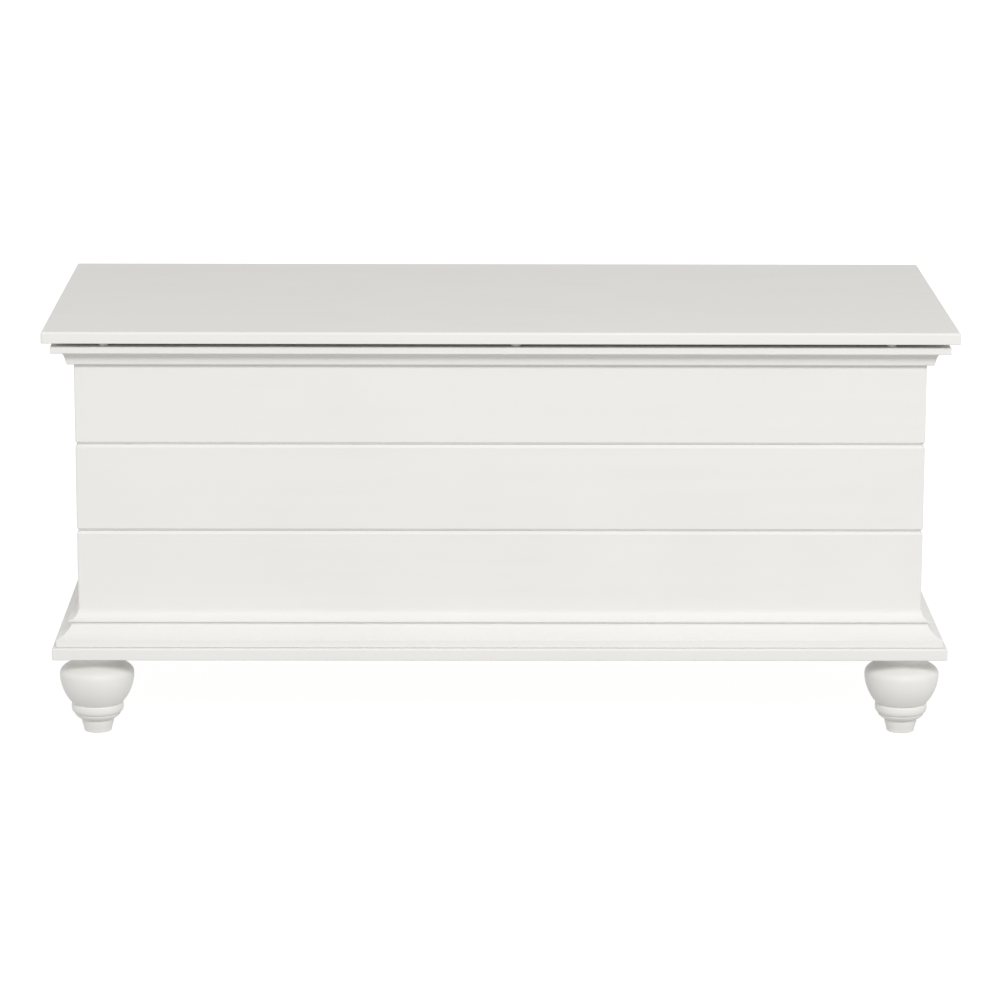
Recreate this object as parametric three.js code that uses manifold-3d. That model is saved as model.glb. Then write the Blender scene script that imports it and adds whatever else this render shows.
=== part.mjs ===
import * as THREE from 'three';
import { mergeVertices } from 'three/addons/utils/BufferGeometryUtils.js';
import Module from 'manifold-3d';

// A long, low toy box with a hinged lid, moulded cornice and base, and turned feet.
// Millimetres, +Z up, the front faces -Y. The origin is on the floor, under the middle of the
// whole object's footprint.

// ---------------------------------------------------------------- driving dimensions

// Clearances
const SEAT = 0.3; // between two pieces that are glued or screwed face to face
const MITRE = 0.2; // by which each strip stops short of its mitre line
const KNUCKLE_GAP = 0.4; // between neighbouring knuckles of a hinge
const PIN_PLAY = 0.2; // round a hinge pin in its knuckles
const BARREL_CLEARANCE = 0.5; // between a hinge barrel and the back of the box
const CUT_PAST = 1; // by which a shape that cuts runs past the face it cuts

// Walls, measured over the outer faces of the planks
const CASE_WIDTH = 1044.6;
const CASE_DEPTH = 471.5;
const PLANK_THICK = 15;
const BOTTOM_PLANK = 142.2;
const MIDDLE_PLANK = 109.1;
const TOP_PLANK = 118.1;
const GROOVE = 3.5; // leg of the chamfer on each plank edge that meets another
const BACK_THICK = 12;
const POST_SIDE = 30;
const RAIL_THICK = 20;
const RAIL_HEIGHT = 40;

// Base board and feet
const BASE_THICK = 14.7;
const BASE_PROUD = 31.2; // past the planks at the front and the sides
const BASE_ROUND = 2.5;
const FOOT_INSET = 51.1; // from the base board's edges to a foot's axis
const TOE_HEIGHT = 16.3;
const BEAD_HEIGHT = 7.9;
const RING_HEIGHT = 12.8;
const BOWL_HEIGHT = 48.3;
const SHOULDER_RISE = 7.7;
const COLLAR_HEIGHT = 9.6;
const TOE_RADIUS = 17.3;
const TOE_EDGE = 1.2;
const TOE_TOP_RADIUS = 20.3;
const BEAD_FOOT_RADIUS = 22;
const BEAD_RADIUS = 28.8;
const BEAD_LEAN = [1.5, 3.5]; // in from the bead's top, and up from its foot, to the mark it bends to
const RING_FOOT_RADIUS = 29.3;
const RING_RADIUS = 32.3;
const NECK_RADIUS = 31;
const BOWL_RADIUS = 46.3;
const BOWL_BELLY = 37; // height of the bowl's widest place above its neck
const BOWL_FLARE = [6.6, 7.5]; // out and up from the neck to the mark that the bowl leaves it by
const BOWL_SHOULDER = [2.7, 3.1, 6.3]; // in and down, then down, to the marks that round its top edge
const SHOULDER_RADIUS = 37;
const COLLAR_RADIUS = 26;
const FOOT_SIDES = 20;

// Foot fixings
const BOLT_RADIUS = 4;
const BOLT_IN_FOOT = 30;
const INSERT_RADIUS = 6;
const INSERT_LENGTH = 12;
const BOLT_SIDES = 12;

// Mouldings: how far each mark of a profile stands out from the planks, and its height
const COVE_HEIGHT = 13.6;
const COVE_PROUD = 12.3;
const COVE_EDGE = 0.8; // height of the cove's upright edge
const COVE_TIP = 0.6; // thickness of the cove's top edge
const MOULD_HEIGHT = 29.4;
const MOULD_PROUD = 25.7;
const MOULD_FILLET = 9.7; // height of the moulding's upright edge
const MOULD_LEAN_PROUD = 14.2; // the mark that the moulding's hollow bends to
const MOULD_LEAN_HEIGHT = 14;
const MOULD_TOP_PROUD = 8.1;
const MOULD_TOP_EDGE = 4.8; // height of the flat above the hollow
const CORNICE_HEIGHT = 16.9;
const CORNICE_FOOT_PROUD = 8.6;
const CORNICE_WAIST_PROUD = 9.8;
const CORNICE_WAIST_HEIGHT = 6.7; // above the cornice's foot
const CORNICE_HEAD_PROUD = 15;

// Rim on top of the walls
const RIM_THICK = 8.7;
const RIM_PROUD = 26.4;
const RIM_LIP = 10; // past the planks' inner faces
const REAR_RIM_WIDTH = 46;

// Lid and the bumpers that hold it off the rim
const LID_OVERHANG = 36.5; // past the planks at the front and the sides
const LID_THICK = 14.5;
const LID_ROUND = 2;
const PLAN_ROUND = 3; // corners of the lid and the base board, seen from above
const LID_GAP = 5.6;
const BUMPER_RADIUS = 6;
const BUMPER_EDGE = 1.5;
const BUMPER_SIDES = 16;
const BUMPER_SET_BACK = 11; // from the rim's front edge to a bumper's axis
const BUMPER_LEFT_INSET = 38; // from the case's side to a bumper's axis
const BUMPER_RIGHT_INSET = 46;
const BUMPER_MIDDLE_OFFSET = 18;

// Hinges
const HINGE_LENGTH = 76;
const HINGE_LEAF = 1.8;
const HINGE_LEAF_DEPTH = 36;
const HINGE_RADIUS = 4;
const PIN_RADIUS = 2;
const HINGE_INSET = 150; // from the case's side to an outer hinge's middle
const LID_KNUCKLE = 26;
const HINGE_SIDES = 20;

// ---------------------------------------------------------------- places worked out from them

const BOWL_TOP = TOE_HEIGHT + BEAD_HEIGHT + RING_HEIGHT + BOWL_HEIGHT;
const FOOT_HEIGHT = BOWL_TOP + SHOULDER_RISE + COLLAR_HEIGHT;
const BASE_TOP = FOOT_HEIGHT + BASE_THICK;
const MIDDLE_ROW = BASE_TOP + BOTTOM_PLANK;
const TOP_ROW = MIDDLE_ROW + MIDDLE_PLANK;
const RIM_BOTTOM = TOP_ROW + TOP_PLANK;
const RIM_TOP = RIM_BOTTOM + RIM_THICK;
const LID_BOTTOM = RIM_TOP + LID_GAP;

const BARREL_REACH = BARREL_CLEARANCE + 2 * HINGE_RADIUS;
const FOOTPRINT_DEPTH = LID_OVERHANG + CASE_DEPTH + BARREL_REACH;
const FRONT_Y = LID_OVERHANG - FOOTPRINT_DEPTH / 2; // outer face of the front planks
const BACK_Y = FRONT_Y + CASE_DEPTH; // outer face of the back panel
const SIDE_X = CASE_WIDTH / 2; // outer face of the right-hand planks
const INNER_X = SIDE_X - PLANK_THICK;
const INNER_FRONT_Y = FRONT_Y + PLANK_THICK;
const INNER_BACK_Y = BACK_Y - BACK_THICK;
const HINGE_Y = BACK_Y + BARREL_CLEARANCE + HINGE_RADIUS;
const HINGE_Z = RIM_TOP + LID_GAP / 2;

// ---------------------------------------------------------------- materials

const paint = { color: 0xeeede8, roughness: 0.42, metalness: 0 };
const steel = { color: 0xb9bbbd, roughness: 0.35, metalness: 1 };
const brass = { color: 0xc9a352, roughness: 0.35, metalness: 1 };
const rubber = { color: 0xd9d8d2, roughness: 0.6, metalness: 0 };

// ---------------------------------------------------------------- helpers

const wasm = await Module();
wasm.setup();

const box = new THREE.Group();

function add(parent, name, geometry, finish) {
  const mesh = new THREE.Mesh(geometry, new THREE.MeshStandardMaterial(finish));
  mesh.name = name;
  parent.add(mesh);
  return mesh;
}

// A closed mesh as a solid that can be joined and cut.
function solid(geometry) {
  const bare = geometry.index ? geometry.toNonIndexed() : geometry.clone();
  bare.deleteAttribute('normal');
  bare.deleteAttribute('uv');
  const merged = mergeVertices(bare, 1e-4);
  const vertProperties = merged.attributes.position.array;
  const triVerts = new Uint32Array(merged.index.array);
  return new wasm.Manifold(new wasm.Mesh({ numProp: 3, vertProperties, triVerts }));
}

function geometryOf(made) {
  const mesh = made.getMesh();
  const geometry = new THREE.BufferGeometry();
  geometry.setAttribute('position', new THREE.BufferAttribute(mesh.vertProperties, 3));
  geometry.setIndex(new THREE.BufferAttribute(mesh.triVerts, 1));
  const flat = geometry.toNonIndexed();
  flat.computeVertexNormals();
  return flat;
}

// A square-edged block between two corners.
function block(low, high) {
  const size = high.map((value, axis) => value - low[axis]);
  const middle = high.map((value, axis) => (value + low[axis]) / 2);
  return new THREE.BoxGeometry(...size).translate(...middle);
}

// An upright cylinder between two heights.
function rod(radius, sides, low, high) {
  const geometry = new THREE.CylinderGeometry(radius, radius, high - low, sides);
  return geometry.rotateX(Math.PI / 2).translate(0, 0, (low + high) / 2);
}

// A solid turned about the Z axis from an outline of radius and height that runs from bottom to top.
function turned(outline, sides) {
  return new THREE.LatheGeometry(outline, sides).rotateX(Math.PI / 2);
}

// A flat board with rounded edges all round, standing on its low corner.
function softBoard(width, depth, thick, round) {
  const half = [width / 2, depth / 2];
  const shape = new THREE.Shape();
  shape.absarc(half[0] - PLAN_ROUND, half[1] - PLAN_ROUND, PLAN_ROUND, 0, Math.PI / 2);
  shape.absarc(PLAN_ROUND - half[0], half[1] - PLAN_ROUND, PLAN_ROUND, Math.PI / 2, Math.PI);
  shape.absarc(PLAN_ROUND - half[0], PLAN_ROUND - half[1], PLAN_ROUND, Math.PI, 1.5 * Math.PI);
  shape.absarc(half[0] - PLAN_ROUND, PLAN_ROUND - half[1], PLAN_ROUND, 1.5 * Math.PI, 2 * Math.PI);
  const geometry = new THREE.ExtrudeGeometry(shape, {
    depth: thick - 2 * round,
    bevelSize: round,
    bevelOffset: -round,
    bevelThickness: round,
    bevelSegments: 3,
    curveSegments: 3,
  });
  return geometry.translate(0, 0, round);
}

// ---------------------------------------------------------------- walls

// The three dressed walls. Each is drawn facing -Y with its outer face at y = 0, and is turned into
// place. Its ends are given as distances to the right and to the left, and are mitred at the front
// corners of the box and square at the back.
const WALLS = [
  { name: 'front', turn: 0, at: [0, FRONT_Y], right: SIDE_X, left: SIDE_X, mitres: [1, 1] },
  { name: 'right', turn: 1, at: [SIDE_X, 0], right: BACK_Y, left: -FRONT_Y, mitres: [0, 1] },
  { name: 'left', turn: -1, at: [-SIDE_X, 0], right: -FRONT_Y, left: BACK_Y, mitres: [1, 0] },
];

// A straight strip of a profile whose x is the distance out from the wall and whose y is the height.
function strip(profile, wall) {
  const options = { depth: 1, bevelEnabled: false, curveSegments: 5 };
  const geometry = new THREE.ExtrudeGeometry(profile, options);
  const position = geometry.attributes.position;
  for (let i = 0; i < position.count; i += 1) {
    const out = position.getX(i);
    const up = position.getY(i);
    const atLeft = position.getZ(i) > 0.5;
    const reach = atLeft ? wall.left : wall.right;
    const mitred = wall.mitres[atLeft ? 1 : 0];
    const along = reach + mitred * (out - MITRE);
    position.setXYZ(i, atLeft ? -along : along, -out, up);
  }
  geometry.computeVertexNormals();
  return geometry;
}

const wallGroups = WALLS.map((wall) => {
  const group = new THREE.Group();
  group.position.set(wall.at[0], wall.at[1], 0);
  group.rotation.z = (wall.turn * Math.PI) / 2;
  box.add(group);
  return group;
});

// One strip of the profile on each of the three walls.
function runRound(name, profile) {
  WALLS.forEach((wall, i) => add(wallGroups[i], `${wall.name}_${name}`, strip(profile, wall), paint));
}

function outline(points) {
  return new THREE.Shape(points.map(([out, up]) => new THREE.Vector2(out, up)));
}

// A plank, chamfered along an outer edge wherever another plank meets it.
function plankProfile(low, high, chamferLow, chamferHigh) {
  return outline([
    [-PLANK_THICK, low],
    [-chamferLow, low],
    ...(chamferLow ? [[0, low + chamferLow]] : []),
    ...(chamferHigh ? [[0, high - chamferHigh]] : []),
    [-chamferHigh, high],
    [-PLANK_THICK, high],
  ]);
}

function addPlanks() {
  runRound('plank_bottom', plankProfile(BASE_TOP + SEAT, MIDDLE_ROW - SEAT, 0, GROOVE));
  runRound('plank_middle', plankProfile(MIDDLE_ROW, TOP_ROW - SEAT, GROOVE, GROOVE));
  runRound('plank_top', plankProfile(TOP_ROW, RIM_BOTTOM - SEAT, GROOVE, 0));
}

// The back panel stands between the side planks, flush with their ends.
function addBack() {
  const low = [SEAT - INNER_X, INNER_BACK_Y, BASE_TOP + SEAT];
  const high = [INNER_X - SEAT, BACK_Y, RIM_BOTTOM - SEAT];
  add(box, 'back_panel', block(low, high), paint);
}

// The posts stand in the four inner corners, and the rail runs between the rear pair.
function addPosts() {
  const near = INNER_X - SEAT;
  const corners = {
    front_left: [-near, INNER_FRONT_Y + SEAT],
    front_right: [near - POST_SIDE, INNER_FRONT_Y + SEAT],
    rear_left: [-near, INNER_BACK_Y - SEAT - POST_SIDE],
    rear_right: [near - POST_SIDE, INNER_BACK_Y - SEAT - POST_SIDE],
  };
  for (const [corner, [x, y]] of Object.entries(corners)) {
    const high = [x + POST_SIDE, y + POST_SIDE, RIM_BOTTOM - SEAT];
    add(box, `post_${corner}`, block([x, y, BASE_TOP + SEAT], high), paint);
  }
}

function addBackRail() {
  const end = INNER_X - SEAT - POST_SIDE - SEAT;
  const front = INNER_BACK_Y - SEAT - RAIL_THICK;
  const low = [-end, front, RIM_BOTTOM - SEAT - RAIL_HEIGHT];
  const high = [end, INNER_BACK_Y - SEAT, RIM_BOTTOM - SEAT];
  add(box, 'back_rail', block(low, high), paint);
}

// ---------------------------------------------------------------- mouldings

function addBaseMouldings() {
  const low = BASE_TOP + SEAT;
  const top = BASE_TOP + MOULD_HEIGHT;
  const hollow = new THREE.Shape();
  hollow.moveTo(SEAT, low);
  hollow.lineTo(MOULD_PROUD, low);
  hollow.lineTo(MOULD_PROUD, BASE_TOP + MOULD_FILLET);
  hollow.quadraticCurveTo(
    MOULD_LEAN_PROUD, BASE_TOP + MOULD_LEAN_HEIGHT,
    MOULD_TOP_PROUD, top - MOULD_TOP_EDGE,
  );
  hollow.lineTo(MOULD_TOP_PROUD, top - SEAT);
  hollow.lineTo(SEAT, top - SEAT);
  runRound('base_moulding', hollow);

  // The cove is an arc that ends upright at its tip.
  const tip = SEAT + COVE_TIP;
  const run = COVE_PROUD - tip;
  const rise = COVE_HEIGHT - COVE_EDGE;
  const radius = (run * run + rise * rise) / (2 * run);
  const sweep = Math.atan2(rise, radius - run);
  const cove = new THREE.Shape();
  cove.moveTo(SEAT, top);
  cove.lineTo(COVE_PROUD, top);
  cove.absarc(tip + radius, top + COVE_HEIGHT, radius, Math.PI + sweep, Math.PI, true);
  cove.lineTo(SEAT, top + COVE_HEIGHT);
  runRound('base_cove', cove);
}

function addCornice() {
  const top = RIM_BOTTOM - SEAT;
  const low = RIM_BOTTOM - CORNICE_HEIGHT;
  const profile = new THREE.Shape();
  profile.moveTo(SEAT, low);
  profile.lineTo(CORNICE_FOOT_PROUD, low);
  profile.lineTo(CORNICE_WAIST_PROUD, low + CORNICE_WAIST_HEIGHT);
  profile.quadraticCurveTo(
    CORNICE_WAIST_PROUD, low + 2 * CORNICE_WAIST_HEIGHT,
    CORNICE_HEAD_PROUD, top,
  );
  profile.lineTo(SEAT, top);
  runRound('cornice', profile);
}

// The rim is a flat frame on top of the walls: mitred at the front, and closed at the back by a
// wider strip that carries the hinges.
function addRim() {
  const inner = PLANK_THICK + RIM_LIP;
  runRound('rim', outline([
    [-inner, RIM_BOTTOM],
    [RIM_PROUD, RIM_BOTTOM],
    [RIM_PROUD, RIM_TOP],
    [-inner, RIM_TOP],
  ]));
  const end = SIDE_X - inner - SEAT;
  const low = [-end, BACK_Y - REAR_RIM_WIDTH, RIM_BOTTOM];
  add(box, 'rear_rim', block(low, [end, BACK_Y, RIM_TOP]), paint);
}

// ---------------------------------------------------------------- base board and feet

const FOOT_X = SIDE_X + BASE_PROUD - FOOT_INSET;
const FOOT_FRONT_Y = FRONT_Y - BASE_PROUD + FOOT_INSET;
const FOOT_REAR_Y = BACK_Y - FOOT_INSET;
const FOOT_SPOTS = {
  front_left: [-FOOT_X, FOOT_FRONT_Y],
  front_right: [FOOT_X, FOOT_FRONT_Y],
  rear_left: [-FOOT_X, FOOT_REAR_Y],
  rear_right: [FOOT_X, FOOT_REAR_Y],
};

function addBaseBoard() {
  const depth = CASE_DEPTH + BASE_PROUD;
  const board = softBoard(CASE_WIDTH + 2 * BASE_PROUD, depth, BASE_THICK, BASE_ROUND);
  board.translate(0, BACK_Y - depth / 2, FOOT_HEIGHT);
  const sink = INSERT_LENGTH + 2 * SEAT;
  const hole = rod(INSERT_RADIUS + SEAT, BOLT_SIDES, -CUT_PAST, sink);
  let drilled = solid(board);
  for (const [x, y] of Object.values(FOOT_SPOTS)) {
    drilled = drilled.subtract(solid(hole.clone().translate(x, y, FOOT_HEIGHT)));
  }
  add(box, 'base_board', geometryOf(drilled), paint);
}

// The foot's outline, from the middle of its underside up its side and down its bolt hole.
function footOutline() {
  const bead = TOE_HEIGHT + BEAD_HEIGHT;
  const neck = bead + RING_HEIGHT;
  const ringMark = 2 * RING_RADIUS - (RING_FOOT_RADIUS + NECK_RADIUS) / 2;
  const path = new THREE.Path();
  path.moveTo(0, 0);
  path.lineTo(TOE_RADIUS - TOE_EDGE, 0);
  path.lineTo(TOE_RADIUS, TOE_EDGE);
  path.lineTo(TOE_TOP_RADIUS, TOE_HEIGHT);
  path.lineTo(BEAD_FOOT_RADIUS, TOE_HEIGHT);
  path.quadraticCurveTo(
    BEAD_RADIUS - BEAD_LEAN[0], TOE_HEIGHT + BEAD_LEAN[1],
    BEAD_RADIUS, bead,
  );
  path.lineTo(RING_FOOT_RADIUS, bead);
  path.quadraticCurveTo(ringMark, (bead + neck) / 2, NECK_RADIUS, neck);
  path.bezierCurveTo(
    NECK_RADIUS + BOWL_FLARE[0], neck + BOWL_FLARE[1],
    BOWL_RADIUS, neck + BOWL_BELLY / 2,
    BOWL_RADIUS, neck + BOWL_BELLY,
  );
  path.bezierCurveTo(
    BOWL_RADIUS, BOWL_TOP - BOWL_SHOULDER[2],
    BOWL_RADIUS - BOWL_SHOULDER[0], BOWL_TOP - BOWL_SHOULDER[1],
    SHOULDER_RADIUS, BOWL_TOP,
  );
  path.lineTo(COLLAR_RADIUS, BOWL_TOP + SHOULDER_RISE);
  path.lineTo(COLLAR_RADIUS, FOOT_HEIGHT - SEAT);
  path.lineTo(BOLT_RADIUS + SEAT, FOOT_HEIGHT - SEAT);
  path.lineTo(BOLT_RADIUS + SEAT, FOOT_HEIGHT - BOLT_IN_FOOT);
  path.lineTo(0, FOOT_HEIGHT - BOLT_IN_FOOT);
  return path.getPoints(5);
}

function addFeet() {
  const foot = footOutline();
  const insertLow = FOOT_HEIGHT + SEAT;
  const insertHigh = insertLow + INSERT_LENGTH;
  const boreLow = insertLow - CUT_PAST;
  const bore = solid(rod(BOLT_RADIUS + SEAT, BOLT_SIDES, boreLow, insertHigh + CUT_PAST));
  const insert = solid(rod(INSERT_RADIUS, BOLT_SIDES, insertLow, insertHigh)).subtract(bore);
  for (const [corner, [x, y]] of Object.entries(FOOT_SPOTS)) {
    add(box, `foot_${corner}`, turned(foot, FOOT_SIDES), paint).position.set(x, y, 0);
    const bolt = rod(BOLT_RADIUS, BOLT_SIDES, FOOT_HEIGHT - BOLT_IN_FOOT + SEAT, insertHigh);
    add(box, `foot_bolt_${corner}`, bolt, steel).position.set(x, y, 0);
    add(box, `foot_insert_${corner}`, geometryOf(insert), brass).position.set(x, y, 0);
  }
}

// ---------------------------------------------------------------- lid, bumpers and hinges

function addLid() {
  const depth = CASE_DEPTH + LID_OVERHANG;
  const board = softBoard(CASE_WIDTH + 2 * LID_OVERHANG, depth, LID_THICK, LID_ROUND);
  add(box, 'lid_panel', board, paint).position.set(0, BACK_Y - depth / 2, LID_BOTTOM);
}

function addBumpers() {
  const height = LID_GAP - SEAT;
  const path = new THREE.Path();
  path.moveTo(0, 0);
  path.lineTo(BUMPER_RADIUS, 0);
  path.lineTo(BUMPER_RADIUS, height - BUMPER_EDGE);
  path.quadraticCurveTo(BUMPER_RADIUS, height, BUMPER_RADIUS - BUMPER_EDGE, height);
  path.lineTo(0, height);
  const spots = {
    left: BUMPER_LEFT_INSET - SIDE_X,
    middle: BUMPER_MIDDLE_OFFSET,
    right: SIDE_X - BUMPER_RIGHT_INSET,
  };
  const y = FRONT_Y - RIM_PROUD + BUMPER_SET_BACK;
  for (const [side, x] of Object.entries(spots)) {
    const bumper = turned(path.getPoints(3), BUMPER_SIDES);
    add(box, `bumper_${side}`, bumper, rubber).position.set(x, y, RIM_TOP);
  }
}

// A round bar along X, between two places on it, through the hinge's axis.
function axial(radius, from, to) {
  const geometry = new THREE.CylinderGeometry(radius, radius, to - from, HINGE_SIDES);
  return solid(geometry.rotateZ(Math.PI / 2).translate((from + to) / 2, 0, 0));
}

// A leaf with its knuckles, drawn about the hinge's axis, with its plate reaching forward (-Y). The
// plate lies against the board whose face is at the height `face`, on the side towards the axis.
function leaf(face, knuckles) {
  const half = HINGE_LENGTH / 2;
  const under = Math.sign(face) * (Math.abs(face) - SEAT);
  const inside = under - Math.sign(face) * HINGE_LEAF;
  const tip = -(HINGE_RADIUS + BARREL_CLEARANCE + HINGE_LEAF_DEPTH);
  const low = Math.min(under, inside);
  const high = Math.max(under, inside);
  const clear = HINGE_RADIUS + BARREL_CLEARANCE / 2;
  let made = solid(block([-half, tip, low], [half, -clear, high]));
  for (const [from, to] of knuckles) {
    made = made.add(solid(block([from, -clear - CUT_PAST, low], [to, 0, high])));
    made = made.add(axial(HINGE_RADIUS, from, to));
  }
  const bore = axial(PIN_RADIUS + PIN_PLAY, -half - CUT_PAST, half + CUT_PAST);
  return geometryOf(made.subtract(bore));
}

function addHinges() {
  const half = HINGE_LENGTH / 2;
  const inner = LID_KNUCKLE / 2;
  const outer = inner + KNUCKLE_GAP;
  const boxLeaf = leaf(-LID_GAP / 2, [[-half, -outer], [outer, half]]);
  const lidLeaf = leaf(LID_GAP / 2, [[-inner, inner]]);
  const pin = geometryOf(axial(PIN_RADIUS, -half, half));
  const spots = { left: HINGE_INSET - SIDE_X, middle: 0, right: SIDE_X - HINGE_INSET };
  for (const [side, x] of Object.entries(spots)) {
    add(box, `hinge_${side}_box_leaf`, boxLeaf.clone(), steel).position.set(x, HINGE_Y, HINGE_Z);
    add(box, `hinge_${side}_lid_leaf`, lidLeaf.clone(), steel).position.set(x, HINGE_Y, HINGE_Z);
    add(box, `hinge_${side}_pin`, pin.clone(), steel).position.set(x, HINGE_Y, HINGE_Z);
  }
}

addBaseBoard();
addFeet();
addPlanks();
addBack();
addPosts();
addBackRail();
addBaseMouldings();
addCornice();
addRim();
addBumpers();
addHinges();
addLid();

export default box;
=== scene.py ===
"""A white painted toy box: grooved plank walls, moulded cornice and base, turned feet, hinged lid."""

from collections import namedtuple
from math import atan2, cos, pi, radians, sin

import bmesh
import bpy
from mathutils import Matrix, Vector
from mathutils.geometry import interpolate_bezier


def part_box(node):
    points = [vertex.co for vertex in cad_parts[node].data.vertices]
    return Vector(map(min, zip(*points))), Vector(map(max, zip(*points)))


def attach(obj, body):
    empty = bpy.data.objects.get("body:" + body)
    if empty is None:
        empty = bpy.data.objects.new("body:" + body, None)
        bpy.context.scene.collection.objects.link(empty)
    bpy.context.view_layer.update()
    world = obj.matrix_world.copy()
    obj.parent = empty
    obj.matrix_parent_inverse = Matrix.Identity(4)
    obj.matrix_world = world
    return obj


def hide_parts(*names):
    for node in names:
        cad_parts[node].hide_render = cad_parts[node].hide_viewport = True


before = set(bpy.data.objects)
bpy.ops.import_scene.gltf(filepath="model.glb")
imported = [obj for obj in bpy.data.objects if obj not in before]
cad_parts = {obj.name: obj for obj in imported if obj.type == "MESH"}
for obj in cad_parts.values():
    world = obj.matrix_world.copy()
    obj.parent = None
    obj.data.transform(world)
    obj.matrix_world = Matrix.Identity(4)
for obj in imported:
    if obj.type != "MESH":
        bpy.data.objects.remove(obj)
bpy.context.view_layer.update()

# ---------------------------------------------------------------- measures, in metres

# Softness of the edges under the paint
BOARD_SOFT = 0.0012
MOULDING_SOFT = 0.0004
SMOOTH_ANGLE = radians(35)
SHARP_ANGLE = radians(20)
SAME_PLACE = 1e-6  # points closer than this are one point
ON_THE_CUT = 1e-7
SOFT_STEPS = 2
BOARD_STEPS = 3
ROUND_BEND_STEPS = 5
CORNER_STEPS = 6

# Planks
PLANK_CORNER = 0.0022  # rounding of the case's upright front corners
PLANK_GROOVE = 0.0035
PLANK_SOFT = 0.0003

# Lid, base board and rim
LID_CORNER = 0.0030  # seen from above
LID_TOP_EDGE = 0.0030
LID_LOW_EDGE = 0.0012
BASE_CORNER = 0.0020
BASE_TOP_EDGE = 0.0028
BASE_LOW_EDGE = 0.0012
TOP_EDGE_STEPS = 5
LOW_EDGE_STEPS = 4
RIM_EDGE = 0.0012
RIM_STEPS = 4

# Mouldings: marks of (out from the planks' faces, up from the strip's foot)
COVE_LIP = 0.0008
COVE_TIP = 0.0004
COVE_STEPS = 12
HOLLOW_FOOT = 0.0097
HOLLOW_ROUND = 0.0020
HOLLOW_MARK = (0.0142, 0.0140)
HOLLOW_HEAD = (0.0081, 0.0246)
HOLLOW_STEPS = 12
CORNICE_NOSE = 0.0086
CORNICE_ROUND = 0.0025
CORNICE_WAIST = (0.0098, 0.0067)
CORNICE_BEND = (0.0102, 0.0125)
CORNICE_STEPS = 8

# Turned feet: each turning is a curve of (radius, height) marks, cut in by a quirk above it or not
Turning = namedtuple("Turning", "foot lean reach head quirked")
FOOT_TURNINGS = (
    Turning((0.0173, 0.0012), (0.0176, 0.0055), (0.0198, 0.0090), (0.0203, 0.0154), True),  # toe
    Turning((0.0220, 0.0167), (0.0249, 0.0182), (0.0284, 0.0206), (0.0288, 0.0234), True),  # bead
    Turning((0.0298, 0.0247), (0.0312, 0.0258), (0.0324, 0.0282), (0.0324, 0.0312), False),  # ring
    Turning((0.0324, 0.0312), (0.0324, 0.0338), (0.0322, 0.0358), (0.0310, 0.0367), True),
    Turning((0.0320, 0.0374), (0.0378, 0.0436), (0.0463, 0.0575), (0.0463, 0.0735), False),  # bowl
    Turning((0.0463, 0.0735), (0.0463, 0.0786), (0.0439, 0.0818), (0.0372, 0.0852), False),
    Turning((0.0372, 0.0852), (0.0330, 0.0873), (0.0270, 0.0885), (0.0260, 0.0935), False),  # neck
)
TOE_EDGE = 0.0012
TOE_EDGE_STEPS = 4
QUIRK = 0.0005
FOOT_STEPS = 96
TURNING_STEPS = 14
BOLT_HOLE = (0.0043, 0.0300)  # radius and depth

# Bumpers: the foot's softness, then shares of the height or the radius
BUMPER_SOFT = 0.0005
BUMPER_WAIST = 0.35
BUMPER_SHOULDER = 0.8
BUMPER_CROWN = 0.45
BUMPER_STEPS = 8

# Hinges
LEAF_THICK = 0.0018
LEAF_SEAT = 0.0003
LEAF_CORNER = 0.0040
LEAF_SOFT = 0.0003
KNUCKLE_BORE = 0.0022
KNUCKLE_SOFT = 0.0004
KNUCKLE_GAP = 0.0004
LID_KNUCKLE = 0.0260
PLATE_CLEARANCE = 0.00025  # between a leaf's plate and the barrel
ROUND_STEPS = 40
SCREW_RADIUS = 0.0036
SCREW_DOME = 0.0003
SCREW_DOME_STEPS = 6
SCREW_STEPS = 24
SCREW_INSET = 0.0100  # from the leaf's ends
SCREW_ROWS = (0.0085, 0.0265)  # from the leaf's free edge
RECESS_HALF = 0.0005
RECESS_REACH = 0.0021
RECESS_DEPTH = 0.0009
RECESS_TAPER = 0.00008

# ---------------------------------------------------------------- places, from the frame

CORNERS = ("front_left", "front_right", "rear_left", "rear_right")
SIDES = ("left", "middle", "right")

lid_low, lid_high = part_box("lid_panel")
base_low, base_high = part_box("base_board")
rim_low, rim_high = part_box("front_rim")
front_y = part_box("front_plank_top")[0].y
left_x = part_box("left_plank_top")[0].x
right_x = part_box("right_plank_top")[1].x
back_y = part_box("back_panel")[1].y
plank_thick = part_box("left_plank_top")[1].x - left_x

# ---------------------------------------------------------------- finishes


def shader(name, base, roughness, metallic=0.0):
    """A new material, its node tree and its Principled shader."""
    material = bpy.data.materials.new(name)
    material.use_nodes = True
    tree = material.node_tree
    bsdf = tree.nodes["Principled BSDF"]
    bsdf.inputs["Base Color"].default_value = (*base, 1)
    bsdf.inputs["Roughness"].default_value = roughness
    bsdf.inputs["Metallic"].default_value = metallic
    return material, tree, bsdf


def noise(tree, scale, detail=3.0, stretch=(1, 1, 1)):
    """A noise pattern on Object coordinates, stretched along the axes."""
    place = tree.nodes.new("ShaderNodeTexCoord")
    turn = tree.nodes.new("ShaderNodeMapping")
    pattern = tree.nodes.new("ShaderNodeTexNoise")
    turn.inputs["Scale"].default_value = stretch
    pattern.inputs["Scale"].default_value = scale
    pattern.inputs["Detail"].default_value = detail
    tree.links.new(place.outputs["Object"], turn.inputs["Vector"])
    tree.links.new(turn.outputs["Vector"], pattern.inputs["Vector"])
    return pattern.outputs["Fac"]


PATTERN_SPAN = (0.3, 0.7)  # where nearly all of a noise pattern lies


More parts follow.
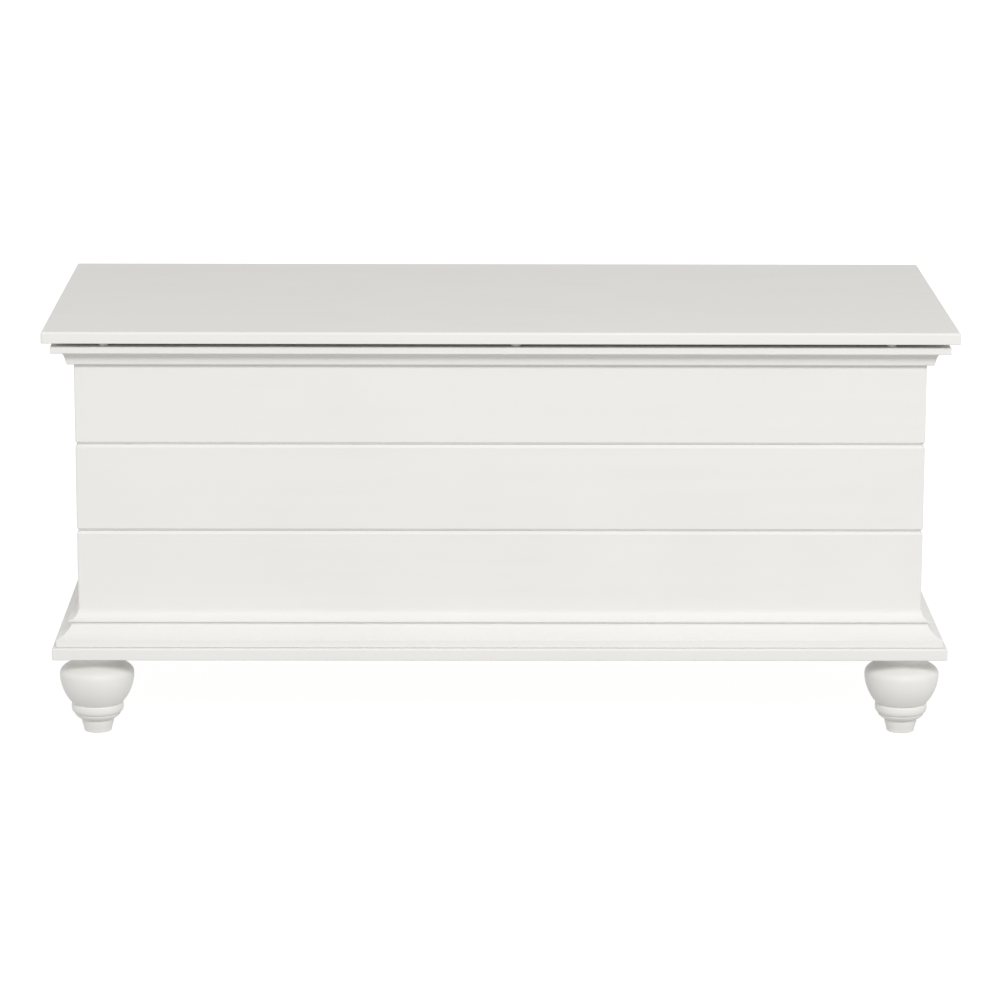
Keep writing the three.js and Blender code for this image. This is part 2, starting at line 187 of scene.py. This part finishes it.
def ramp(tree, value, low, high):
    """Maps a pattern onto the span between two values."""
    node = tree.nodes.new("ShaderNodeMapRange")
    node.inputs["From Min"].default_value = PATTERN_SPAN[0]
    node.inputs["From Max"].default_value = PATTERN_SPAN[1]
    node.inputs["To Min"].default_value = low
    node.inputs["To Max"].default_value = high
    tree.links.new(value, node.inputs["Value"])
    return node.outputs["Result"]


def blend_colours(tree, value, one, other):
    node = tree.nodes.new("ShaderNodeMix")
    node.data_type = "RGBA"
    node.inputs["A"].default_value = (*one, 1)
    node.inputs["B"].default_value = (*other, 1)
    tree.links.new(value, node.inputs["Factor"])
    return node.outputs["Result"]


def relief(tree, bsdf, heights):
    """Bump from several patterns of (value, distance), one laid over the other."""
    normal = None
    for value, distance in heights:
        bump = tree.nodes.new("ShaderNodeBump")
        bump.inputs["Distance"].default_value = distance
        tree.links.new(value, bump.inputs["Height"])
        if normal:
            tree.links.new(normal, bump.inputs["Normal"])
        normal = bump.outputs["Normal"]
    tree.links.new(normal, bsdf.inputs["Normal"])


PAINT = (0.86, 0.852, 0.822)
PAINT_SHADE = (0.835, 0.826, 0.795)
PAINT_ROUGH = (0.50, 0.60)
PAINT_GLOSS = 0.35
CLOUD_SCALE = 7.0
STREAK_SCALE = 60.0
STREAK_FLOOR = 0.3  # how much of the shade is left between the streaks
STREAK_RELIEF = 0.00012
PEEL_SCALE = 900.0
PEEL_RELIEF = 0.00003
PAINT_DETAIL = 4.0
FINE_DETAIL = 2.0


def satin_paint(name, grain):
    """Satin white paint: the wood's grain shows through faintly along the board."""
    material, tree, bsdf = shader(name, PAINT, PAINT_ROUGH[0])
    bsdf.inputs["Specular IOR Level"].default_value = PAINT_GLOSS
    cloud = noise(tree, CLOUD_SCALE, PAINT_DETAIL)
    streak = noise(tree, STREAK_SCALE, PAINT_DETAIL, grain)
    peel = noise(tree, PEEL_SCALE, FINE_DETAIL)
    mottle = tree.nodes.new("ShaderNodeMath")
    mottle.operation = "MULTIPLY"
    tree.links.new(ramp(tree, cloud, 0.0, 1.0), mottle.inputs[0])
    tree.links.new(ramp(tree, streak, STREAK_FLOOR, 1.0), mottle.inputs[1])
    colour = blend_colours(tree, mottle.outputs["Value"], PAINT, PAINT_SHADE)
    tree.links.new(colour, bsdf.inputs["Base Color"])
    tree.links.new(ramp(tree, cloud, *PAINT_ROUGH), bsdf.inputs["Roughness"])
    relief(tree, bsdf, [(streak, STREAK_RELIEF), (peel, PEEL_RELIEF)])
    return material


STEEL = (0.62, 0.62, 0.63)
STEEL_PALE = (0.66, 0.66, 0.66)
STEEL_DULL = (0.55, 0.56, 0.58)
STEEL_ROUGH = (0.26, 0.42)
STEEL_CLOUD_SCALE = 90.0
STEEL_GRAIN_SCALE = 500.0
STEEL_GRAIN = (0.08, 1, 1)
BRASS = (0.78, 0.58, 0.28)
BRASS_ROUGH = (0.24, 0.40)
BRASS_RING_SCALE = 700.0
BRASS_RING = (0.1, 0.1, 1)
METAL_RELIEF = 0.00001
RUBBER = (0.72, 0.72, 0.69)
RUBBER_ROUGH = (0.50, 0.70)
RUBBER_SPECK_SCALE = 1500.0
RUBBER_RELIEF = 0.00002


def middle_of(span):
    return sum(span) / 2


def plated_steel(name):
    """Zinc-plated steel with a faint rolling grain."""
    material, tree, bsdf = shader(name, STEEL, middle_of(STEEL_ROUGH), 1.0)
    cloud = noise(tree, STEEL_CLOUD_SCALE)
    grain = noise(tree, STEEL_GRAIN_SCALE, FINE_DETAIL, STEEL_GRAIN)
    colour = blend_colours(tree, ramp(tree, cloud, 0, 1), STEEL_PALE, STEEL_DULL)
    tree.links.new(colour, bsdf.inputs["Base Color"])
    tree.links.new(ramp(tree, grain, *STEEL_ROUGH), bsdf.inputs["Roughness"])
    relief(tree, bsdf, [(grain, METAL_RELIEF)])
    return material


def turned_brass(name):
    material, tree, bsdf = shader(name, BRASS, middle_of(BRASS_ROUGH), 1.0)
    ring = noise(tree, BRASS_RING_SCALE, FINE_DETAIL, BRASS_RING)
    tree.links.new(ramp(tree, ring, *BRASS_ROUGH), bsdf.inputs["Roughness"])
    relief(tree, bsdf, [(ring, METAL_RELIEF)])
    return material


def soft_rubber(name):
    material, tree, bsdf = shader(name, RUBBER, middle_of(RUBBER_ROUGH))
    speck = noise(tree, RUBBER_SPECK_SCALE, FINE_DETAIL)
    tree.links.new(ramp(tree, speck, *RUBBER_ROUGH), bsdf.inputs["Roughness"])
    relief(tree, bsdf, [(speck, RUBBER_RELIEF)])
    return material


GRAIN_ALONG_X = (0.04, 1, 1)
GRAIN_ALONG_Y = (1, 0.04, 1)
GRAIN_ALONG_Z = (1, 1, 0.04)
paint_x = satin_paint("satin_paint_long", GRAIN_ALONG_X)
paint_y = satin_paint("satin_paint_end", GRAIN_ALONG_Y)
paint_z = satin_paint("satin_paint_upright", GRAIN_ALONG_Z)
steel = plated_steel("zinc_plated_steel")
brass = turned_brass("turned_brass")
rubber = soft_rubber("bumper_rubber")

# ---------------------------------------------------------------- making a piece


def piece(bm, name, body, finish, slot, *nodes):
    """Makes the modelled shape an object that rides on a body and stands for CAD nodes."""
    bmesh.ops.remove_doubles(bm, verts=bm.verts, dist=SAME_PLACE)
    bmesh.ops.recalc_face_normals(bm, faces=bm.faces)
    mesh = bpy.data.meshes.new(name)
    bm.to_mesh(mesh)
    bm.free()
    mesh.shade_smooth()
    mesh.set_sharp_from_angle(angle=SMOOTH_ANGLE)
    mesh.materials.append(finish)
    made = bpy.data.objects.new(name, mesh)
    bpy.context.scene.collection.objects.link(made)
    evened = made.modifiers.new("even_normals", "WEIGHTED_NORMAL")
    evened.keep_sharp = True
    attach(made, body)
    if nodes:
        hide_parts(*nodes)


def block(low, high):
    """A block between two corners."""
    bm = bmesh.new()
    bmesh.ops.create_cube(bm, size=1)
    bmesh.ops.scale(bm, vec=Vector(high) - Vector(low), verts=bm.verts)
    bmesh.ops.translate(bm, vec=(Vector(low) + Vector(high)) / 2, verts=bm.verts)
    return bm


def soften(bm, edges, radius, segments):
    bmesh.ops.bevel(
        bm,
        geom=edges,
        offset=radius,
        offset_type="OFFSET",
        segments=segments,
        profile=0.5,
        affect="EDGES",
        clamp_overlap=True,
        material=-1,
    )


def level_edges(bm, height):
    """The edges that lie wholly at one height."""
    return [e for e in bm.edges if all(abs(v.co.z - height) < SAME_PLACE for v in e.verts)]


def upright_edges(bm):
    return [e for e in bm.edges if (e.verts[0].co - e.verts[1].co).xy.length < SAME_PLACE]


def sharp_edges(bm):
    return [e for e in bm.edges if e.is_manifold and e.calc_face_angle() > SHARP_ANGLE]


def end_edges(bm, x):
    """The edges that lie wholly on a strip's end."""
    return [e for e in bm.edges if all(abs(v.co.x - x) < SAME_PLACE for v in e.verts)]


def is_outer(edge):
    """Whether an edge is on the outer half of a plank."""
    return max(v.co.y for v in edge.verts) < plank_thick / 2


def is_level(edge):
    return abs(edge.verts[0].co.z - edge.verts[1].co.z) < SAME_PLACE


def curve(start, lean, reach, end, steps):
    """Points of a cubic curve, without its first one."""
    marks = (Vector((*mark, 0)) for mark in (start, lean, reach, end))
    return [tuple(point.xy) for point in interpolate_bezier(*marks, steps)][1:]


def bend(start, corner, end, steps):
    """Points of a curve that leaves one mark and meets the next along the lines from a corner."""
    start, corner, end = Vector(start), Vector(corner), Vector(end)
    return curve(start, start.lerp(corner, 2 / 3), end.lerp(corner, 2 / 3), end, steps)


# ---------------------------------------------------------------- dressed walls

# A wall is drawn facing -Y with its planks' faces at y = 0, and is turned into place. Its length is
# given to the right and to the left of its middle line, and it is mitred at the front corners.
Wall = namedtuple("Wall", "name turns at right left mitre_right mitre_left finish")
WALLS = [
    Wall("front", 0, (0, front_y), right_x, -left_x, True, True, paint_x),
    Wall("right", 1, (right_x, 0), back_y, -front_y, False, True, paint_y),
    Wall("left", -1, (left_x, 0), -front_y, back_y, True, False, paint_y),
]


def cut_mitres(bm, wall):
    """Cuts the ends that meet another wall at 45 degrees, and closes them."""
    cuts = []
    if wall.mitre_right:
        cuts.append((wall.right, 1))
    if wall.mitre_left:
        cuts.append((-wall.left, -1))
    for x, side in cuts:
        done = bmesh.ops.bisect_plane(
            bm,
            geom=bm.verts[:] + bm.edges[:] + bm.faces[:],
            dist=ON_THE_CUT,
            plane_co=(x, 0, 0),
            plane_no=Vector((side, 1, 0)).normalized(),
            clear_outer=True,
        )
        rim = [g for g in done["geom_cut"] if isinstance(g, bmesh.types.BMEdge)]
        bmesh.ops.holes_fill(bm, edges=rim, sides=0)


def stand(bm, wall):
    """Turns a wall's strip into its place on the box."""
    turn = Matrix.Rotation(wall.turns * pi / 2, 4, "Z")
    place = Matrix.Translation((*wall.at, 0)) @ turn
    bmesh.ops.transform(bm, matrix=place, verts=bm.verts)


def moulded_strip(outline, wall, soft, corner=0.0):
    """A strip of an outline of (out, up) marks along a wall, with its long edges softened.

    A corner radius rounds its mitred ends where they turn the corner of the box.
    """
    reach = max(out for out, _ in outline)
    right = wall.right + (reach if wall.mitre_right else 0)
    left = wall.left + (reach if wall.mitre_left else 0)
    bm = bmesh.new()
    section = bm.faces.new([bm.verts.new((-left, -out, up)) for out, up in outline])
    grown = bmesh.ops.extrude_face_region(bm, geom=[section])
    moved = [g for g in grown["geom"] if isinstance(g, bmesh.types.BMVert)]
    bmesh.ops.translate(bm, vec=(right + left, 0, 0), verts=moved)
    bmesh.ops.recalc_face_normals(bm, faces=bm.faces)
    if corner:
        for mitred, end in ((wall.mitre_right, right), (wall.mitre_left, -left)):
            turning = [e for e in end_edges(bm, end) if is_outer(e) and not is_level(e)]
            if mitred:
                soften(bm, turning, corner, CORNER_STEPS)
    long_edges = [e for e in sharp_edges(bm) if abs(e.verts[0].co.x - e.verts[1].co.x) > left]
    soften(bm, long_edges, soft, SOFT_STEPS)
    cut_mitres(bm, wall)
    stand(bm, wall)
    return bm


def plank(wall, row, groove_low, groove_high):
    """A plank with a rounded front corner, chamfered where it meets the plank above or below."""
    node = f"{wall.name}_plank_{row}"
    low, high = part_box(node)[0].z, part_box(node)[1].z
    outline = [(-plank_thick, low), (-groove_low, low)]
    if groove_low:
        outline += [(0, low + groove_low)]
    if groove_high:
        outline += [(0, high - groove_high)]
    outline += [(-groove_high, high), (-plank_thick, high)]
    bm = moulded_strip(outline, wall, PLANK_SOFT, PLANK_CORNER)
    piece(bm, f"{wall.name}_{row}_plank", "box", wall.finish, "white_paint", node)


def planks(wall):
    plank(wall, "bottom", 0, PLANK_GROOVE)
    plank(wall, "middle", PLANK_GROOVE, PLANK_GROOVE)
    plank(wall, "top", PLANK_GROOVE, 0)


def cornice(wall):
    """Under the rim: a rounded nose and a cove that spreads to the rim."""
    node = f"{wall.name}_cornice"
    low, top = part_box(node)[0].z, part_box(node)[1].z
    head = (front_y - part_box("front_cornice")[0].y, top)
    waist = (CORNICE_WAIST[0], low + CORNICE_WAIST[1])
    nose = (CORNICE_NOSE, low + CORNICE_ROUND)
    outline = [(0, low), (CORNICE_NOSE - CORNICE_ROUND, low)]
    outline += bend(outline[-1], (CORNICE_NOSE, low), nose, ROUND_BEND_STEPS)
    outline += [waist]
    outline += bend(waist, (CORNICE_BEND[0], low + CORNICE_BEND[1]), head, CORNICE_STEPS)
    outline += [(0, top)]
    bm = moulded_strip(outline, wall, MOULDING_SOFT)
    piece(bm, f"{wall.name}_cornice_moulding", "box", wall.finish, "white_paint", node)


def base_moulding(wall):
    """On the base board: a rounded foot, an upright edge and a hollow up to a narrow flat."""
    node = f"{wall.name}_base_moulding"
    low = base_high.z
    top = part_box(f"{wall.name}_base_cove")[0].z
    proud = front_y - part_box("front_base_moulding")[0].y
    foot = (proud, low + HOLLOW_FOOT)
    head = (HOLLOW_HEAD[0], low + HOLLOW_HEAD[1])
    outline = [(0, low), (proud - HOLLOW_ROUND, low)]
    round_top = (proud, low + HOLLOW_ROUND)
    outline += bend(outline[-1], (proud, low), round_top, ROUND_BEND_STEPS) + [foot]
    outline += bend(foot, (HOLLOW_MARK[0], low + HOLLOW_MARK[1]), head, HOLLOW_STEPS)
    outline += [(HOLLOW_HEAD[0], top), (0, top)]
    bm = moulded_strip(outline, wall, MOULDING_SOFT)
    piece(bm, f"{wall.name}_base_strip", "box", wall.finish, "white_paint", node)


def base_cove(wall):
    """The cove that spreads the foot of the bottom planks: an arc that ends upright at its tip."""
    node = f"{wall.name}_base_cove"
    low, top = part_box(node)[0].z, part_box(node)[1].z
    proud = front_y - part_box("front_base_cove")[0].y
    run = proud - COVE_TIP
    rise = top - low - COVE_LIP
    radius = (run * run + rise * rise) / (2 * run)
    sweep = atan2(rise, radius - run)
    outline = [(0, low), (proud - COVE_LIP / 2, low)]
    outline += bend(outline[-1], (proud, low), (proud, low + COVE_LIP), ROUND_BEND_STEPS)
    for step in range(1, COVE_STEPS + 1):
        angle = sweep * (1 - step / COVE_STEPS)
        outline += [(COVE_TIP + radius * (1 - cos(angle)), top - radius * sin(angle))]
    outline += [(0, top)]
    bm = moulded_strip(outline, wall, MOULDING_SOFT / 2)
    piece(bm, f"{wall.name}_cove_strip", "box", wall.finish, "white_paint", node)


def rim(wall):
    """A flat strip of the frame that caps the walls, softened along its outer and inner edges."""
    proud = front_y - rim_low.y
    inner = rim_high.y - front_y
    right = wall.right + (proud if wall.mitre_right else 0)
    left = wall.left + (proud if wall.mitre_left else 0)
    bm = block((-left, -proud, rim_low.z), (right, inner, rim_high.z))
    long_edges = [e for e in bm.edges if abs(e.verts[0].co.x - e.verts[1].co.x) > left]
    soften(bm, long_edges, RIM_EDGE, RIM_STEPS)
    cut_mitres(bm, wall)
    stand(bm, wall)
    piece(bm, f"{wall.name}_rim_strip", "box", wall.finish, "white_paint", f"{wall.name}_rim")


def dress_walls():
    for wall in WALLS:
        planks(wall)
        cornice(wall)
        base_moulding(wall)
        base_cove(wall)
        rim(wall)


# ---------------------------------------------------------------- boards and posts


def rounded_board(low, high, corner, top_edge, low_edge):
    """A board with rounded corners, seen from above, and rounded edges."""
    bm = block(low, high)
    soften(bm, upright_edges(bm), corner, CORNER_STEPS)
    soften(bm, level_edges(bm, high.z), top_edge, TOP_EDGE_STEPS)
    soften(bm, level_edges(bm, low.z), low_edge, LOW_EDGE_STEPS)
    return bm


def plain_board(name, node, finish):
    bm = block(*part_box(node))
    soften(bm, bm.edges[:], BOARD_SOFT, BOARD_STEPS)
    piece(bm, name, "box", finish, "white_paint", node)


def boards():
    bm = rounded_board(lid_low, lid_high, LID_CORNER, LID_TOP_EDGE, LID_LOW_EDGE)
    piece(bm, "lid_board", "lid", paint_x, "white_paint", "lid_panel")
    bm = rounded_board(base_low, base_high, BASE_CORNER, BASE_TOP_EDGE, BASE_LOW_EDGE)
    piece(bm, "base_plinth", "box", paint_x, "white_paint", "base_board")
    plain_board("back_board", "back_panel", paint_x)
    plain_board("hinge_rail", "back_rail", paint_x)
    plain_board("rear_rim_strip", "rear_rim", paint_x)
    for corner in CORNERS:
        plain_board(f"corner_post_{corner}", f"post_{corner}", paint_z)


# ---------------------------------------------------------------- turned pieces


def spun(outline, steps, closed=False):
    """A solid turned about the Z axis from an outline of (radius, height) marks."""
    bm = bmesh.new()
    marks = [bm.verts.new((radius, 0, height)) for radius, height in outline]
    line = [bm.edges.new(pair) for pair in zip(marks, marks[1:] + marks[:1] * closed)]
    bmesh.ops.spin(
        bm,
        geom=marks + line,
        cent=(0, 0, 0),
        axis=(0, 0, 1),
        dvec=(0, 0, 0),
        angle=2 * pi,
        steps=steps,
        use_merge=True,
        use_duplicate=False,
    )
    bmesh.ops.remove_doubles(bm, verts=bm.verts, dist=SAME_PLACE)
    return bm


def foot_outline(top):
    """From the middle of the underside up the turnings and the collar, then down the bolt hole."""
    toe = FOOT_TURNINGS[0].foot
    outline = [(0, 0), (toe[0] - TOE_EDGE, 0)]
    outline += bend(outline[-1], (toe[0], 0), toe, TOE_EDGE_STEPS)[:-1]
    for turning in FOOT_TURNINGS:
        outline += [turning.foot] + curve(*turning[:4], TURNING_STEPS)
        if turning.quirked:
            outline += [(turning.head[0] - QUIRK, turning.head[1] + QUIRK)]
    collar = outline[-1][0]
    hole, deep = BOLT_HOLE
    return outline + [(collar, top), (hole, top), (hole, top - deep), (0, top - deep)]


def feet():
    for corner in CORNERS:
        low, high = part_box(f"foot_{corner}")
        middle = (low + high) / 2
        bm = spun(foot_outline(high.z), FOOT_STEPS)
        bmesh.ops.translate(bm, vec=(middle.x, middle.y, 0), verts=bm.verts)
        piece(bm, f"turned_foot_{corner}", "box", paint_z, "white_paint", f"foot_{corner}")


def bumpers():
    """Soft buttons under the lid's front edge."""
    for side in SIDES:
        low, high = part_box(f"bumper_{side}")
        middle = (low + high) / 2
        radius = (high.x - low.x) / 2
        height = high.z - low.z
        waist = (radius, height * BUMPER_WAIST)
        crown = (radius * BUMPER_CROWN, height)
        outline = [(0, 0), (radius - BUMPER_SOFT, 0), (radius, BUMPER_SOFT), waist]
        lean = (radius, height * BUMPER_SHOULDER)
        outline += curve(waist, lean, (radius * BUMPER_SHOULDER, height), crown, BUMPER_STEPS)
        bm = spun(outline + [(0, height)], ROUND_STEPS)
        bmesh.ops.translate(bm, vec=(middle.x, middle.y, low.z), verts=bm.verts)
        piece(bm, f"lid_bumper_{side}", "box", rubber, "bumper_rubber", f"bumper_{side}")


# ---------------------------------------------------------------- hinges


def along_x(bm, middle):
    """Lays what was turned about Z along X, about a middle."""
    place = Matrix.Translation(middle) @ Matrix.Rotation(pi / 2, 4, "Y")
    bmesh.ops.transform(bm, matrix=place, verts=bm.verts)


def join(whole, part):
    """Adds a shape to another, as one mesh of separate shells."""
    mesh = bpy.data.meshes.new("part")
    part.to_mesh(mesh)
    part.free()
    whole.from_mesh(mesh)
    bpy.data.meshes.remove(mesh)


def knuckle(start, end, axis, radius):
    """A knuckle round the pin, between two places along the hinge."""
    half = (end - start) / 2
    soft = KNUCKLE_SOFT
    outline = [(KNUCKLE_BORE, -half), (radius - soft, -half), (radius, soft - half)]
    outline += [(radius, half - soft), (radius - soft, half), (KNUCKLE_BORE, half)]
    bm = spun(outline, ROUND_STEPS, closed=True)
    along_x(bm, Vector(((start + end) / 2, axis.y, axis.z)))
    return bm


def leaf_plate(low, high):
    """A leaf's plate, rounded at the two corners of its free edge."""
    bm = block(low, high)
    free_corners = [e for e in upright_edges(bm) if e.verts[0].co.y < low.y + SAME_PLACE]
    soften(bm, free_corners, LEAF_CORNER, CORNER_STEPS)
    soften(bm, sharp_edges(bm), LEAF_SOFT, SOFT_STEPS)
    return bm


def screw_head(at, up):
    """A low domed head with a cross recess, sunk in its plate and facing up or down."""
    outline = [(0, -LEAF_SOFT), (SCREW_RADIUS, -LEAF_SOFT), (SCREW_RADIUS, 0)]
    lean = (SCREW_RADIUS / 2, SCREW_DOME)
    outline += bend(outline[-1], lean, (0, SCREW_DOME), SCREW_DOME_STEPS)
    bm = spun(outline, SCREW_STEPS)
    for axis in (Vector((1, 0, 0)), Vector((0, 1, 0))):
        for place in (-RECESS_REACH, -RECESS_HALF, RECESS_HALF, RECESS_REACH):
            everything = bm.verts[:] + bm.edges[:] + bm.faces[:]
            bmesh.ops.bisect_plane(
                bm, geom=everything, dist=ON_THE_CUT, plane_co=axis * place, plane_no=axis
            )
    cross = []
    for face in bm.faces:
        middle = face.calc_center_median()
        near, far = sorted((abs(middle.x), abs(middle.y)))
        if middle.z > 0 and near < RECESS_HALF and far < RECESS_REACH:
            cross.append(face)
    bmesh.ops.recalc_face_normals(bm, faces=bm.faces)
    bmesh.ops.inset_region(
        bm, faces=cross, thickness=RECESS_TAPER, depth=-RECESS_DEPTH, use_even_offset=True
    )
    turn = Matrix.Rotation(0 if up else pi, 4, "X")
    bmesh.ops.transform(bm, matrix=Matrix.Translation(at) @ turn, verts=bm.verts)
    return bm


def leaf(side, part, face, up, spans):
    """A leaf on the board at a height: its plate, its knuckles and the four screws that hold it."""
    node = f"hinge_{side}_{part}_leaf"
    free_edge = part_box(node)[0].y
    pin_low, pin_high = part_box(f"hinge_{side}_pin")
    axis = (pin_low + pin_high) / 2
    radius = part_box(node)[1].y - axis.y
    bottom = face + LEAF_SEAT if up else face - LEAF_SEAT - LEAF_THICK
    top = bottom + LEAF_THICK
    back_edge = axis.y - radius - PLATE_CLEARANCE
    bm = leaf_plate(Vector((pin_low.x, free_edge, bottom)), Vector((pin_high.x, back_edge, top)))
    for start, end in spans:
        join(bm, knuckle(axis.x + start, axis.x + end, axis, radius))
        strap_low = (axis.x + start, back_edge - 2 * LEAF_SOFT, bottom + LEAF_SOFT / 2)
        join(bm, block(strap_low, (axis.x + end, axis.y - KNUCKLE_BORE, top - LEAF_SOFT / 2)))
    piece(bm, f"lid_hinge_{side}_{part}_leaf", part, steel, "hinge_steel", node)

    heads = bmesh.new()
    for x in (pin_low.x + SCREW_INSET, pin_high.x - SCREW_INSET):
        for row in SCREW_ROWS:
            join(heads, screw_head(Vector((x, free_edge + row, top if up else bottom)), up))
    piece(heads, f"lid_hinge_{side}_{part}_screws", part, steel, "hinge_steel")


def hinge_pin(side):
    low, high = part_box(f"hinge_{side}_pin")
    radius = (high.z - low.z) / 2
    half = (high.x - low.x) / 2
    soft = KNUCKLE_SOFT
    outline = [(0, -half), (radius - soft, -half), (radius, soft - half)]
    outline += [(radius, half - soft), (radius - soft, half), (0, half)]
    bm = spun(outline, ROUND_STEPS)
    along_x(bm, (low + high) / 2)
    piece(bm, f"lid_hinge_{side}_rod", "box", steel, "hinge_steel", f"hinge_{side}_pin")


def hinges():
    """Butt hinges: the box leaf has the outer knuckles and the lid leaf the middle one."""
    inner = LID_KNUCKLE / 2
    outer = inner + KNUCKLE_GAP
    for side in SIDES:
        pin_low, pin_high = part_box(f"hinge_{side}_pin")
        half = (pin_high.x - pin_low.x) / 2
        leaf(side, "box", rim_high.z, True, [(-half, -outer), (outer, half)])
        leaf(side, "lid", lid_low.z, False, [(-inner, inner)])
        hinge_pin(side)


def foot_fixings():
    """The bolts and inserts inside the feet stay as the frame has them, with their metal on."""
    for corner in CORNERS:
        for node, finish in ((f"foot_bolt_{corner}", steel), (f"foot_insert_{corner}", brass)):
            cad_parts[node].data.materials.clear()
            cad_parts[node].data.materials.append(finish)


# ---------------------------------------------------------------- studio

EYE = (-0.0509, lid_low.y - 4.990, 1.433)
EYE_DOWN = radians(12.709)
EYE_RIGHT = radians(0.574)
EYE_ROLL = radians(0.189)
LENS = 150.5
SENSOR = 36
VIEW_REACH = 200
SKY = 0.60
GROUND_SKY = 0.50
HORIZON_BLEND = 0.15
KEY_AT = (0.8, -4.6, 3.15)
KEY_AIM = (0, 0, 0.3)
KEY_SIZE = (2.4, 1.2)
KEY_POWER = 140
FILL_AIM = (0, 0, 0.25)
SIDE_FILL_AT = (4.0, 0.3, 0.25)
SIDE_FILL_SIZE = (3.0, 0.45)
SIDE_FILL_POWER = 18
BACK_FILL_AT = (0.0, 4.5, 0.25)
BACK_FILL_SIZE = (4.0, 0.45)
BACK_FILL_POWER = 46
FLOOR_SIZE = 60
FLOOR_TONE = (0.35, 0.35, 0.35)
FLOOR_ROUGH = 0.9
FLOOR_GLOW = 0.81


def camera():
    data = bpy.data.cameras.new("camera")
    data.lens = LENS
    data.sensor_width = SENSOR
    data.clip_end = VIEW_REACH
    eye = bpy.data.objects.new("camera", data)
    look = Matrix.Rotation(-EYE_RIGHT, 4, "Z") @ Matrix.Rotation(pi / 2 - EYE_DOWN, 4, "X")
    eye.matrix_world = Matrix.Translation(EYE) @ look @ Matrix.Rotation(EYE_ROLL, 4, "Z")
    bpy.context.scene.collection.objects.link(eye)
    bpy.context.scene.camera = eye


def softbox(name, at, toward, size, power, mirrored=True):
    """An area lamp that the camera doesn't see, and that glossy surfaces mirror or not."""
    data = bpy.data.lights.new(name, "AREA")
    data.shape = "RECTANGLE"
    data.size, data.size_y = size
    data.energy = power
    lamp = bpy.data.objects.new(name, data)
    lamp.location = at
    lamp.rotation_euler = (Vector(toward) - Vector(at)).to_track_quat("-Z", "Y").to_euler()
    lamp.visible_camera = False
    lamp.visible_glossy = mirrored
    bpy.context.scene.collection.objects.link(lamp)


def floor():
    """A plain pale floor that glows, but throws no diffuse light on the box."""
    bm = bmesh.new()
    bmesh.ops.create_grid(bm, x_segments=1, y_segments=1, size=FLOOR_SIZE)
    mesh = bpy.data.meshes.new("floor")
    bm.to_mesh(mesh)
    bm.free()
    material, _, bsdf = shader("floor_white", FLOOR_TONE, FLOOR_ROUGH)
    bsdf.inputs["Emission Color"].default_value = (1, 1, 1, 1)
    bsdf.inputs["Emission Strength"].default_value = FLOOR_GLOW
    mesh.materials.append(material)
    ground = bpy.data.objects.new("floor", mesh)
    ground.visible_diffuse = False
    bpy.context.scene.collection.objects.link(ground)


def sky():
    """An even pale dome, dimmer below the horizon than above it."""
    world = bpy.data.worlds.new("studio")
    world.use_nodes = True
    tree = world.node_tree
    dome = tree.nodes["Background"]
    dome.inputs["Color"].default_value = (1, 1, 1, 1)
    place = tree.nodes.new("ShaderNodeTexCoord")
    split = tree.nodes.new("ShaderNodeSeparateXYZ")
    fade = tree.nodes.new("ShaderNodeMapRange")
    fade.inputs["From Min"].default_value = -HORIZON_BLEND
    fade.inputs["From Max"].default_value = HORIZON_BLEND
    fade.inputs["To Min"].default_value = GROUND_SKY
    fade.inputs["To Max"].default_value = SKY
    tree.links.new(place.outputs["Generated"], split.inputs["Vector"])
    tree.links.new(split.outputs["Z"], fade.inputs["Value"])
    tree.links.new(fade.outputs["Result"], dome.inputs["Strength"])
    bpy.context.scene.world = world


def studio():
    bpy.context.scene.view_settings.view_transform = "Standard"
    sky()
    floor()
    softbox("key", KEY_AT, KEY_AIM, KEY_SIZE, KEY_POWER)
    out, along, up = SIDE_FILL_AT
    for name, side in (("right_fill", 1), ("left_fill", -1)):
        softbox(name, (side * out, along, up), FILL_AIM, SIDE_FILL_SIZE, SIDE_FILL_POWER, False)
    softbox("back_fill", BACK_FILL_AT, FILL_AIM, BACK_FILL_SIZE, BACK_FILL_POWER, False)
    camera()


studio()
dress_walls()
boards()
feet()
bumpers()
hinges()
foot_fixings()
